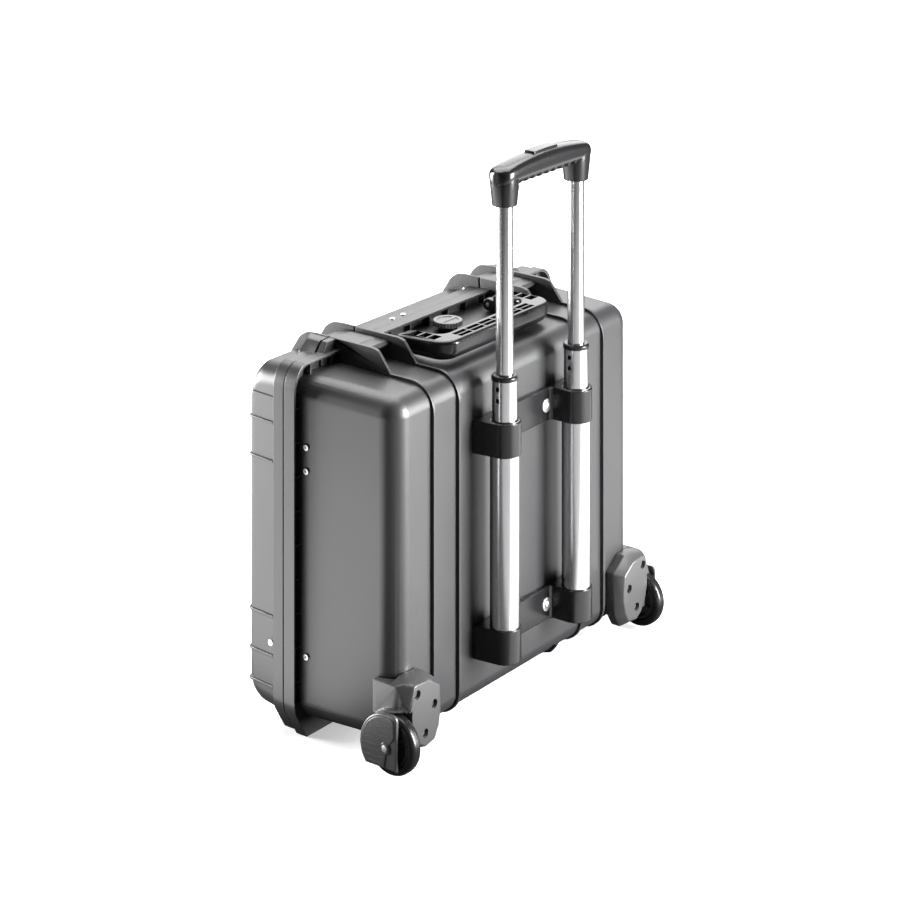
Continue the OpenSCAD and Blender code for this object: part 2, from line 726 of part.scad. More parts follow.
// Back plate outline of a wheel housing, drawn in X and Z for the +X side
function housing_outline() = [[191.3, 89], [210.3, 101.3], [236, 103.6], [246.5, 91], [247.6, 79],
    [241.2, 72], [239.4, 60], [237.5, 45.8], [229, 34], [218, 27.9], [200.2, 31], [193.2, 43.5], [189.5, 60]];

// Places of the three screws in a housing, in X and Z
function screw_spots() = [[232.6, 92.3], [201.5, 71.2], [218.3, 43.2]];

// Outline of the cover round a wheel at radius r, drawn in Y and Z
function cover_outline(r, back, low) = concat([[back, low], [back, axle_z + r + 1]],
    arc(axle_y, axle_z, r, r, 86, 180 + asin(min(1, (axle_z - low) / r)), 20));

module wheel_housing(side) {
    module body() {
        // Block on the back face, wider towards the shell
        hull() {
            along_y(housing_back_y - 1, housing_back_y) polygon(housing_outline());
            along_y(84, 98) polygon([[183, 58], [184, 92], [208, 109], [236, 108.6], [250, 103],
                                     [250, 66], [240, 44], [226, 26], [196, 22], [185, 38]]);
        }
        // Wing that wraps round onto the side of the shell
        translate([228, 57.6, 64]) linear_extrude(39.2)
            polygon([[0, 0], [22.4, 0], [23, 34], [19, 46], [0, 46]]);
        // Cover over the wheel
        along_x(228, guard_x[0] - 0.1) polygon(cover_outline(guard_r, guard_back_y, axle_z - 4));
        // Boss for the axle
        rod_x(226, wheel_x - wheel_w / 2 - gap, axle_y, axle_z, 9);
        translate([226, 84, axle_z - 8]) cube([12, 16, 30]);
    }
    color(black_plastic) mirror([side > 0 ? 0 : 1, 0, 0]) difference() {
        body();
        // Room for the shell's rear corner
        linear_extrude(160) polygon(concat([[100, part_y], [body_half + 0.2, part_y]],
            arc(body_half - side_draft - corner_r, back_y - corner_r, corner_r + 0.2, corner_r + 0.2, 3, 90, 10),
            [[100, back_y + 0.2]]));
        along_x(fin_x[1] - rib_w, fin_x[1] + rib_w) translate([80, 20]) square([20, 200]);
        // Room for the wheel, open at the back and underneath
        along_x(242.6, 290)
            polygon(cover_outline(guard_r - 1.7, housing_back_y + 30, axle_z - 60));
        rod_x(220, 290, axle_y, axle_z, axle_r + fit);
        for (p = screw_spots()) {
            rod_y(80, housing_back_y + 1, p[0], p[1], 2.05);
            rod_y(housing_back_y - 7, housing_back_y + 1, p[0], p[1], 5.2);
        }
        // Corner facet between the wing's top and the back plate
        translate([250.5, 92, 103]) rotate([0, -15.5, 33.7]) translate([0, -40, -40]) cube([40, 80, 80]);
    }
}

// Grooved outer cover of a wheel, open at the back and underneath
module wheel_guard(side) {
    rim = 4;
    color(black_plastic) mirror([side > 0 ? 0 : 1, 0, 0]) difference() {
        union() {
            along_x(guard_x[0], guard_x[1] - 1.6) polygon(cover_outline(guard_r, guard_back_y, guard_low));
            along_x(guard_x[0], guard_x[1])
                polygon(cover_outline(guard_r - rim, guard_back_y - 1.5, guard_low + 1));
        }
        for (i = [0:6])
            translate([guard_x[1] - 1.2, axle_y - 31 + (i > 4 ? 2 + i : 0), 23 + i * 6.4]) cube([4, 41, 1.6]);
        // Recessed sector below and behind the axle
        translate([guard_x[1] - 2.2, axle_y, axle_z]) rotate([90, 0, 90]) linear_extrude(5)
            polygon([[3, 2], [40, 34], [60, -50], [-8, -50]]);
        rod_x(guard_x[0] - 1, guard_x[1] + 1, axle_y, axle_z, axle_r + fit);
    }
    color(black_plastic) mirror([side > 0 ? 0 : 1, 0, 0]) difference() {
        rod_x(guard_x[0], guard_x[1] + 0.4, axle_y, axle_z, 7);
        rod_x(guard_x[0] - 1, guard_x[1] + 1, axle_y, axle_z, axle_r + fit);
    }
}

// Spoked wheel centre with a bearing bore
module hub(side) {
    rim = 24.5;
    color(black_plastic) translate([side * wheel_x, axle_y, axle_z]) rotate([0, 90, 0]) difference() {
        union() {
            difference() {
                translate([0, 0, -6.5]) cylinder(h = 13, r = rim, $fn = fine);
                translate([0, 0, 1.5]) cylinder(h = 10, r = rim - 3, $fn = fine);
                translate([0, 0, -11.5]) cylinder(h = 10, r = rim - 3, $fn = fine);
            }
            translate([0, 0, -wheel_w / 2 + 0.2]) cylinder(h = wheel_w - 0.4, r = 9, $fn = fine);
            for (i = [0:5])
                rotate(i * 60) translate([0, -1.6, -6]) cube([rim - 1, 3.2, 12]);
        }
        cylinder(h = 40, r = axle_r + fit, center = true, $fn = fine);
    }
}

// Round-edged rubber tyre
module tyre(side) {
    w = wheel_w / 2;
    r = 6;
    color(rubber_black) translate([side * wheel_x, axle_y, axle_z]) rotate([0, 90, 0])
        rotate_extrude($fn = 64)
            polygon(concat([[24.5, -w + 1.2], [26, -w]],
                           arc(wheel_r - r, -w + r, r, r, -90, 0, 6),
                           arc(wheel_r - r, w - r, r, r, 0, 90, 6),
                           [[26, w], [24.5, w - 1.2]]));
}

module wheel_axles() {
    color(bright)
        for (sx = sides) mirror([sx > 0 ? 0 : 1, 0, 0]) {
            rod_x(227, guard_x[1] + 0.4, axle_y, axle_z, axle_r);
            rod_x(guard_x[1] + 0.4, guard_x[1] + 1.8, axle_y, axle_z, axle_r + 1);
        }
}

module housing_screws() {
    color([0.15, 0.15, 0.16])
        for (sx = sides) mirror([sx > 0 ? 0 : 1, 0, 0])
            for (p = screw_spots()) difference() {
                union() {
                    rod_y(back_y - wall + 1.2, housing_back_y - 7, p[0], p[1], 2);
                    rod_y(housing_back_y - 7, housing_back_y - 4, p[0], p[1], 4);
                }
                rod_y(housing_back_y - 5.5, housing_back_y, p[0], p[1], 1.5);
            }
}

// Hollow rivets in the sides of the base shell
module side_rivets() {
    color(bright)
        for (sx = sides, z = [100, 317.4, 345.3]) mirror([sx > 0 ? 0 : 1, 0, 0]) difference() {
            union() {
                rod_x(243, 248, -44, z, 2);
                rod_x(248, 249.4, -44, z, 3.6);
            }
            rod_x(247, 250, -44, z, 1.3);
        }
}

// Rivets in the sides and the top of the lid
module lid_rivets() {
    color(bright) {
        for (sx = sides) mirror([sx > 0 ? 0 : 1, 0, 0]) {
            rod_x(246, 252.2, -95.4, 105, 2);
            rod_x(252.2, 253.4, -95.4, 105, 3.6);
        }
        for (x = [21, 42]) translate([x, -79.5, 0]) {
            translate([0, 0, 430]) cylinder(h = 9, r = 2, $fn = fine);
            translate([0, 0, flange_top - 1.5]) cylinder(h = 1.2, r = 3.4, $fn = fine);
        }
    }
}

base_shell();
lid_shell();
lid_gasket();
hinge_pins();
latch(-1);  // latch_left
latch(1);  // latch_right
latch_pins();
carry_handle();
handle_pins();
valve_body();
valve_knob();
upper_bracket();
lower_bracket();
bracket_rivets();
outer_sleeve(-1);  // outer_sleeve_left
outer_sleeve(1);  // outer_sleeve_right
sleeve_bushes();
mid_tube(-1);  // mid_tube_left
mid_tube(1);  // mid_tube_right
mid_collars();
inner_tube(-1);  // inner_tube_left
inner_tube(1);  // inner_tube_right
inner_guides();
lock_pins();
trolley_grip();
grip_button();
release_rods();
wheel_housing(-1);  // wheel_housing_left
wheel_housing(1);  // wheel_housing_right
wheel_guard(-1);  // wheel_guard_left
wheel_guard(1);  // wheel_guard_right
hub(-1);  // hub_left
hub(1);  // hub_right
tyre(-1);  // tyre_left
tyre(1);  // tyre_right
wheel_axles();
housing_screws();
side_rivets();
lid_rivets();
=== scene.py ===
"""Looks of the rolling equipment case: rounded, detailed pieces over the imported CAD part."""

import json
import math

import bmesh
import bpy
from mathutils import Matrix, Vector

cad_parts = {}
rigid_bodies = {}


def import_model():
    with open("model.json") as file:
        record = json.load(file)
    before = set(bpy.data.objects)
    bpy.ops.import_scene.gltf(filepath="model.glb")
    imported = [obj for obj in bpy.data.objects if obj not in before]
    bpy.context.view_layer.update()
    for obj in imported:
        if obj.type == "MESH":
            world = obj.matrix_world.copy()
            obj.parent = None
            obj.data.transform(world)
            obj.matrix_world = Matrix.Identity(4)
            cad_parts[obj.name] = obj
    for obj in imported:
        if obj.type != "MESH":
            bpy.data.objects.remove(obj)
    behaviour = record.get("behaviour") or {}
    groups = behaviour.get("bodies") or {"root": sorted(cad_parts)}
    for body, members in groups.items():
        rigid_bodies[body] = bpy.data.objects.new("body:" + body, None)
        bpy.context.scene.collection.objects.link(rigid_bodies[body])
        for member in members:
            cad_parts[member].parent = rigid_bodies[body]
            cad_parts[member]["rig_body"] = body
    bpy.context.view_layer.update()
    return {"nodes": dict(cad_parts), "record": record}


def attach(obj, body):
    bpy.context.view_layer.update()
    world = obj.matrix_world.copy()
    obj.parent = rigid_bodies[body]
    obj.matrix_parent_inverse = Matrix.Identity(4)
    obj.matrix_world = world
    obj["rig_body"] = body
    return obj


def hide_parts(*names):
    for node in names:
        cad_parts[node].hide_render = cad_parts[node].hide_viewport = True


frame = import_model()

# Shapes are written in millimetres, in the CAD part's frame: X across, Y from lid to trolley, Z up.
MM = 0.001
FULL_TURN = 2 * math.pi


# ---------- node helpers ----------


def new_material(name):
    """An empty node material and its shader."""
    m = bpy.data.materials.new(name)
    m.use_nodes = True
    return m, m.node_tree, m.node_tree.nodes["Principled BSDF"]


def add(tree, kind, **values):
    """A node with its settings and unlinked inputs filled in."""
    node = tree.nodes.new(kind)
    for key, value in values.items():
        if hasattr(node, key):
            setattr(node, key, value)
        else:
            node.inputs[key.replace("_", " ")].default_value = value
    return node


def noise(tree, scale, stretch, detail):
    """Noise in the object's own space, scale per metre, squeezed along an axis by `stretch`."""
    place = add(tree, "ShaderNodeTexCoord")
    squeeze = add(tree, "ShaderNodeMapping")
    squeeze.inputs["Scale"].default_value = stretch
    tree.links.new(place.outputs["Object"], squeeze.inputs["Vector"])
    grain = add(tree, "ShaderNodeTexNoise")
    grain.inputs["Scale"].default_value = scale
    grain.inputs["Detail"].default_value = detail
    tree.links.new(squeeze.outputs["Vector"], grain.inputs["Vector"])
    return grain.outputs["Fac"]


def ramp(tree, factor, low, high, a, b):
    """Maps factor from low..high to colours or values a..b."""
    node = add(tree, "ShaderNodeMapRange")
    node.inputs["From Min"].default_value = low
    node.inputs["From Max"].default_value = high
    node.inputs["To Min"].default_value = a
    node.inputs["To Max"].default_value = b
    tree.links.new(factor, node.inputs["Value"])
    return node.outputs["Result"]


def mix_colour(tree, factor, a, b):
    """Blends from colour a to colour b."""
    node = add(tree, "ShaderNodeMix", data_type="RGBA")
    node.inputs["A"].default_value = (*a, 1)
    node.inputs["B"].default_value = (*b, 1)
    tree.links.new(factor, node.inputs["Factor"])
    return node.outputs["Result"]


EVEN = (1, 1, 1)
CLOUD_SCALE, CLOUD_DETAIL, GRAIN_DETAIL = 9.0, 4.0, 5.0
NOISE_LOW, NOISE_HIGH = 0.3, 0.7
GRAIN_HEIGHT = 0.0002


def finish_material(name, dark, light, rough, rough_span, grain, bump,
                    metal=0.0, stretch=EVEN, specular=0.5):
    """A moulded or metal finish: mottled colour, uneven gloss and a fine grain in the surface."""
    m, tree, shader = new_material(name)
    broad = noise(tree, CLOUD_SCALE, EVEN, CLOUD_DETAIL)
    fine = noise(tree, grain, stretch, GRAIN_DETAIL)
    cloud = ramp(tree, broad, NOISE_LOW, NOISE_HIGH, 0.0, 1.0)
    gloss = ramp(tree, fine, NOISE_LOW, NOISE_HIGH, rough - rough_span, rough + rough_span)
    tree.links.new(mix_colour(tree, cloud, dark, light), shader.inputs["Base Color"])
    tree.links.new(gloss, shader.inputs["Roughness"])
    shader.inputs["Metallic"].default_value = metal
    shader.inputs["Specular IOR Level"].default_value = specular
    relief = add(tree, "ShaderNodeBump")
    relief.inputs["Strength"].default_value = bump
    relief.inputs["Distance"].default_value = GRAIN_HEIGHT
    tree.links.new(fine, relief.inputs["Height"])
    tree.links.new(relief.outputs["Normal"], shader.inputs["Normal"])
    return m


# darker and lighter colour, roughness and its spread, grain scale, relief strength, other settings
FINISHES = {
    "shell_plastic": ((0.018, 0.018, 0.019), (0.022, 0.022, 0.023), 0.40, 0.04, 1500, 0.35,
                      {"specular": 0.6}),
    "black_plastic": ((0.006, 0.006, 0.0065), (0.009, 0.009, 0.0095), 0.24, 0.02, 2600, 0.03,
                      {"specular": 0.45}),
    "knob_plastic": ((0.09, 0.09, 0.09), (0.13, 0.13, 0.13), 0.42, 0.05, 1600, 0.2, {}),
    "wheel_plastic": ((0.040, 0.040, 0.041), (0.052, 0.052, 0.053), 0.34, 0.03, 1900, 0.10,
                      {"specular": 0.6}),
    "seal_rubber": ((0.008, 0.008, 0.008), (0.012, 0.012, 0.012), 0.6, 0.08, 1400, 0.3, {}),
    "tyre_rubber": ((0.006, 0.006, 0.006), (0.010, 0.010, 0.010), 0.26, 0.05, 1200, 0.15,
                    {"specular": 0.4}),
    "bright_metal": ((0.56, 0.56, 0.57), (0.68, 0.68, 0.69), 0.42, 0.06, 1500, 0.1, {"metal": 1.0}),
    "satin_aluminium": ((0.62, 0.62, 0.63), (0.68, 0.68, 0.69), 0.24, 0.015, 500, 0.0,
                        {"metal": 1.0, "stretch": (1, 1, 0.02)}),
    "dark_metal": ((0.30, 0.30, 0.31), (0.42, 0.42, 0.43), 0.36, 0.06, 1500, 0.15, {"metal": 1.0}),
}
MATERIALS = {name: finish_material(name, *values, **more) for name, (*values, more) in FINISHES.items()}

slot_of = {part["node"]: part["material_slot"] for part in frame["record"]["subparts"]}
body_of = {n: o["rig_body"] for n, o in frame["nodes"].items()}


# ---------- mesh helpers ----------


def mesh_object(bm, name):
    """The bmesh as an object in the scene, without normals kept from the CAD surface."""
    mesh = bpy.data.meshes.new(name)
    bm.to_mesh(mesh)
    bm.free()
    for stale in ("custom_normal", "sharp_edge", "sharp_face"):
        if stale in mesh.attributes:
            mesh.attributes.remove(mesh.attributes[stale])
    ob = bpy.data.objects.new(name, mesh)
    bpy.context.scene.collection.objects.link(ob)
    return ob


WELD_DISTANCE, SLIVER = 2e-6, 4e-5          # metres
FLAT_ANGLE, HARD_ANGLE = math.radians(0.5), math.radians(28)
SHORTEST_BEVEL = 1.3                        # an edge is rounded if it is longer than this many widths
BEVEL_SEGMENTS = 2


def rounded_copy(node, width):
    """The node's surface, welded into clean faces and with its hard edges rounded by `width` mm."""
    bm = bmesh.new()
    bm.from_mesh(frame["nodes"][node].data)
    bmesh.ops.remove_doubles(bm, verts=bm.verts, dist=WELD_DISTANCE)
    bmesh.ops.dissolve_limit(bm, angle_limit=FLAT_ANGLE, verts=bm.verts, edges=bm.edges)
    bmesh.ops.dissolve_degenerate(bm, dist=SLIVER, edges=bm.edges)
    hard = [e for e in bm.edges if len(e.link_faces) == 2 and e.calc_length() > SHORTEST_BEVEL * width * MM
            and e.calc_face_angle(0.0) > HARD_ANGLE]
    if width:
        bmesh.ops.bevel(bm, geom=hard, offset=width * MM, offset_type="OFFSET", segments=BEVEL_SEGMENTS,
                        profile=0.5, affect="EDGES", clamp_overlap=False, loop_slide=True)
    bmesh.ops.triangulate(bm, faces=[f for f in bm.faces if len(f.verts) > 4])
    return bm


def arc(cx, cy, rx, ry, start, end, steps):
    """Points of an elliptical arc, angles in degrees."""
    return [(cx + rx * math.cos(math.radians(a)), cy + ry * math.sin(math.radians(a)))
            for a in (start + (end - start) * i / steps for i in range(steps + 1))]


SHARP_CORNER = 0.8                          # keeps the bisector of a sharp corner short


def offset_loop(points, inset):
    """The closed outline moved inwards along its corners' bisectors."""
    count = len(points)
    area = sum(points[i][0] * points[(i + 1) % count][1] - points[(i + 1) % count][0] * points[i][1]
               for i in range(count))
    turn = 1 if area > 0 else -1
    moved = []
    for i in range(count):
        here = Vector(points[i])
        before = (here - Vector(points[i - 1])).normalized()
        after = (Vector(points[(i + 1) % count]) - here).normalized()
        normals = Vector((-before.y - after.y, before.x + after.x))
        moved.append(here + normals * (2 * inset * turn / max(normals.length_squared, SHARP_CORNER)))
    return moved


POCKET_RIM = 0.4


def slab(bm, outline, low, high, axis, rims, holes=(), pockets=(), steps=4):
    """Adds a plate with rounded rims: an outline extruded along an axis.

    It can have through holes, and blind pockets (outline, depth) cut from its high side.
    """

    def place(point, height):
        return {"X": (height, *point), "Y": (point[0], height, point[1]), "Z": (*point, height)}[axis]

    def walls(loop, levels):
        rows = [[bm.verts.new(place(p, height)) for p in offset_loop(loop, inset)]
                for height, inset in levels]
        made = []
        for a, b in zip(rows, rows[1:]):
            for i in range(len(loop)):
                j = (i + 1) % len(loop)
                made.append(bm.faces.new((a[i], a[j], b[j], b[i])))
        return rows, made

    def ring_edges(row):
        return [bm.edges.get((row[i], row[(i + 1) % len(row)])) for i in range(len(row))]

    turns = [math.pi / 2 * i / steps for i in range(steps + 1)]
    levels = [(low + rims[0] * (1 - math.cos(t)), rims[0] * (1 - math.sin(t))) for t in turns]
    levels += [(high - rims[1] * (1 - math.cos(t)), rims[1] * (1 - math.sin(t))) for t in reversed(turns)]
    levels = [level for i, level in enumerate(levels) if i == 0 or level != levels[i - 1]]
    faces, floor_edges, roof_edges = [], [], []
    for loop, way in [(outline, 1)] + [(hole, -1) for hole in holes]:
        rows, made = walls(loop, [(height, inset * way) for height, inset in levels])
        faces += made
        floor_edges += ring_edges(rows[0])
        roof_edges += ring_edges(rows[-1])
    for loop, depth in pockets:
        rows, made = walls(loop, [(high, -POCKET_RIM), (high - POCKET_RIM, 0), (high - depth, 0)])
        faces += made + [bm.faces.new(rows[-1])]
        roof_edges += ring_edges(rows[0])
    for edges in (floor_edges, roof_edges):
        filled = bmesh.ops.triangle_fill(bm, use_beauty=True, edges=edges)
        faces += [g for g in filled["geom"] if isinstance(g, bmesh.types.BMFace)]
    bmesh.ops.recalc_face_normals(bm, faces=faces)


def lathe_x(bm, profile, centre, segments):
    """Adds a turned shape: (radius, x) points swept round the X-parallel axis through `centre`."""
    rows = []
    for i in range(segments):
        a = FULL_TURN * i / segments
        rows.append([bm.verts.new((x, centre[0] + radius * math.cos(a), centre[1] + radius * math.sin(a)))
                     for radius, x in profile])
    faces = []
    for i in range(segments):
        a, b = rows[i], rows[(i + 1) % segments]
        for j in range(len(profile) - 1):
            faces.append(bm.faces.new((a[j], a[j + 1], b[j + 1], b[j])))
    bmesh.ops.remove_doubles(bm, verts=[v for row in rows for v in row], dist=1e-5)
    bmesh.ops.recalc_face_normals(bm, faces=[f for f in faces if f.is_valid])


def in_metres(bm, name):
    """The bmesh, drawn in millimetres, as an object in metres."""
    bmesh.ops.scale(bm, vec=(MM, MM, MM), verts=bm.verts)
    return mesh_object(bm, name)


def carve(ob, other):
    """Cuts another object out of the object, which keeps the result as its mesh."""
    tool = ob.modifiers.new("carve", "BOOLEAN")
    tool.object = other
    tool.operation = "DIFFERENCE"
    tool.solver = "EXACT"
    tool.use_self = True
    shape = bpy.data.meshes.new_from_object(ob.evaluated_get(bpy.context.evaluated_depsgraph_get()))
    ob.modifiers.clear()
    ob.data = shape
    bpy.data.objects.remove(other)


def dress(ob, node, *also, smooth=40.0, look=None):
    """Shading, material (from the node's slot unless a look is given) and body of a piece that stands for
    one or more CAD nodes, which are hidden.
    """
    slot = slot_of[node]
    ob.data.materials.clear()
    ob.data.materials.append(MATERIALS[look or slot])
    ob.data.shade_smooth()
    ob.data.set_sharp_from_angle(angle=math.radians(smooth))
    even = ob.modifiers.new("even", "WEIGHTED_NORMAL")
    even.keep_sharp = True
    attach(ob, body_of[node])
    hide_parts(node, *also)
    return ob


# Width in mm of the rounded edges of the pieces that keep the CAD surface.
WIDTHS = {
    "base_shell": 0.6, "latch_left": 0.7, "latch_right": 0.7, "latch_pins": 0.4,
    "valve_body": 0.4, "valve_knob": 0.4, "bracket_rivets": 0.25,
    "outer_sleeve_left": 0.4, "outer_sleeve_right": 0.4, "mid_tube_left": 0.3, "mid_tube_right": 0.3,
    "mid_collars": 0.5, "inner_tube_left": 0.3, "inner_tube_right": 0.3, "grip_button": 0.8,
    "wheel_housing_left": 1.6, "wheel_housing_right": 1.6, "hub_left": 0.5, "hub_right": 0.5,
    "tyre_left": 0, "tyre_right": 0, "housing_screws": 0.3, "side_rivets": 0.3, "lid_rivets": 0.3,
}

for node, width in WIDTHS.items():
    piece = mesh_object(rounded_copy(node, width), node + "_body")
    dress(piece, node, look="wheel_plastic" if node.startswith(("wheel_", "hub_")) else None)


# ---------- brackets ----------


SIDES = (-1, 1)
TUBE_X, TUBE_Y = 74.0, 116.4                # axis of a trolley tube
BOSS_R, SEAT_R = 19.9, 17.78
BRACKET_TALL, BRACKET_RIM, SEAT_DEPTH = 40, 1.3, 36
PLATE_Y, FILLET_R = 97.6, 5                 # back of the plate between the bosses, and its corners


def bracket(node, low, floored):
    """Moulded bracket: thin plate between two round bosses with flat outer flanks."""
    flank = [(97.4, 86.3), (97.0, 89.6), (93.5, 119.4)]
    boss = arc(TUBE_X, TUBE_Y, BOSS_R, BOSS_R, 12, 176, 22)
    fillet = [(54.1, PLATE_Y)] + arc(54.1 - FILLET_R, PLATE_Y, FILLET_R, FILLET_R, 0, -90, 5)[1:]
    half = flank + boss + fillet
    outline = half + [(-x, y) for x, y in reversed(half)]
    seats = [arc(side * TUBE_X, TUBE_Y, SEAT_R, SEAT_R, 0, 352.5, 47) for side in SIDES]
    holes, pockets = ((), [(seat, SEAT_DEPTH) for seat in seats]) if floored else (seats, ())
    bm = bmesh.new()
    slab(bm, outline, low, low + BRACKET_TALL, "Z", (BRACKET_RIM, BRACKET_RIM), holes, pockets, steps=8)
    dress(in_metres(bm, node + "_body"), node, smooth=13)


bracket("upper_bracket", 323.7, floored=False)
bracket("lower_bracket", 80.0, floored=True)


# ---------- seal ----------


FLANGE_HALF, FLANGE_TOP = 260.3, 440
FLANGE_CORNER = (23.3, 31)
SEAL_BACK, SEAL_FRONT, SEAL_INSET = -68.4, -71.0, 5.5


def flange_loop(inset):
    """Outline of the flanges in the X-Z plane, moved inwards by `inset`."""
    w, t = FLANGE_HALF - inset, FLANGE_TOP - inset
    rx, rz = FLANGE_CORNER
    right = [(237.5 - inset * 0.8, inset), (w - 2.5, 33), (w, 46)] + arc(w - rx, t - rz, rx, rz, 0, 90, 10)
    return right + [(-x, z) for x, z in reversed(right)]


def gasket():
    """Flat rubber seal between the flanges, open over the whole mouth of the case."""
    bm = bmesh.new()
    mouth = [(-239, 35), (239, 35), (239, 419), (-239, 419)]
    slab(bm, flange_loop(SEAL_INSET), SEAL_FRONT, SEAL_BACK, "Y", (0.3, 0.3), [mouth], steps=2)
    dress(in_metres(bm, "lid_gasket_body"), "lid_gasket")


gasket()


# ---------- lid ----------


LID_FACE, LID_FLANGE, RIB_FRONT = -71.0, -87.0, -136.3
LID_FOOT, LATCH_NOTCH = 4.4, 434.0          # heights of the flange's foot and of the latch notches
LID_WALL, LID_CORNER_R, LID_STEP_Z = 4, 24, 395.0
BEND_Y = -120                               # the lid's walls start to turn into its front here
FIN_X, FIN_TOP, FIN_HALF = (125.8, 174.6), 452.2, 2.2
HINGE_X, HINGE_Y, HINGE_Z, KNUCKLE_R, PIN_R, KNUCKLE_LONG = 150, -69.7, 5, 5, 2.1, 15
LID_RIB_Z, LID_RIB_THICK = (50.5, 86.8, 133.3, 316.5, 362.2), 3.6


def between(y, points):
    """Straight-line interpolation in a table of (y, value) with falling y."""
    for (y0, v0), (y1, v1) in zip(points, points[1:]):
        if y >= y1:
            return v0 + (v1 - v0) * (y - y0) / (y1 - y0)
    return points[-1][1]


def lid_loop(y, inset):
    """Outline of the lid's tub at depth y, seen from the front."""
    at = y - inset * (y < BEND_Y)
    side = between(at, [(LID_FACE, 252.2), (-127.3, 247.0)])
    if at < -127:
        side = 239 + math.sqrt(max(64 - (at + 127) ** 2, 0))
    if at < -116.8:
        fall = math.sqrt(max(1 - ((at + 113) / 22) ** 2, 0))
        top, low = 401.5 + 28 * fall, 47 - 26 * fall
    else:
        top = between(at, [(LID_FACE, 433), (-108, 429.6), (-116.8, 429.07)])
        low = between(at, [(LID_FACE, 18), (-108, 20.6), (-116.8, 21.4)])
    x, r = side - inset, LID_CORNER_R - inset
    step = 1.2 if inset == 0 else 0.0
    top, low = top - inset, low + inset
    shoulder = [(x, min(LID_STEP_Z - 0.6, top - r - 2)), (x - step, min(LID_STEP_Z + 0.6, top - r - 1))]
    right = arc(x - r, low + r, r, r, -90, 0, 8) + shoulder + arc(x - step - r, top - r, r, r, 0, 90, 8)
    return right + [(-u, v) for u, v in reversed(right)]


def lid_tub():
    """Open tub of the lid with softly rounded corners and cut for the latches, as one closed wall."""
    bm = bmesh.new()
    bend = [-113 - 22 * math.sin(math.radians(a)) for a in range(18, 91, 8)]
    depths = [LID_FACE, -88, -108, -116.8] + bend
    outer = [[bm.verts.new((x, y, z)) for x, z in lid_loop(y, 0)] for y in depths]
    inner = [[bm.verts.new((x, y + (LID_WALL if y < BEND_Y else 0), z)) for x, z in lid_loop(y, LID_WALL)]
             for y in depths]
    count = len(outer[0])
    for rows in (outer, inner):
        for a, b in zip(rows, rows[1:]):
            for i in range(count):
                bm.faces.new((a[i], a[(i + 1) % count], b[(i + 1) % count], b[i]))
        bm.faces.new(rows[-1])
    for i in range(count):
        bm.faces.new((outer[0][i], outer[0][(i + 1) % count], inner[0][(i + 1) % count], inner[0][i]))
    bmesh.ops.recalc_face_normals(bm, faces=bm.faces)
    tub = in_metres(bm, "lid_tub")
    slot = [(-80, 425.4), (-80, 470), (-107, 470), (-105.6, 429.4), (-100, 425.4)]
    for side in SIDES:
        bm = bmesh.new()
        ends = sorted((side * (FIN_X[0] + FIN_HALF), side * (FIN_X[1] - FIN_HALF)))
        slab(bm, slot, ends[0], ends[1], "X", (0, 0), steps=1)
        carve(tub, in_metres(bm, "slot"))
    dress(tub, "lid_shell", smooth=32)


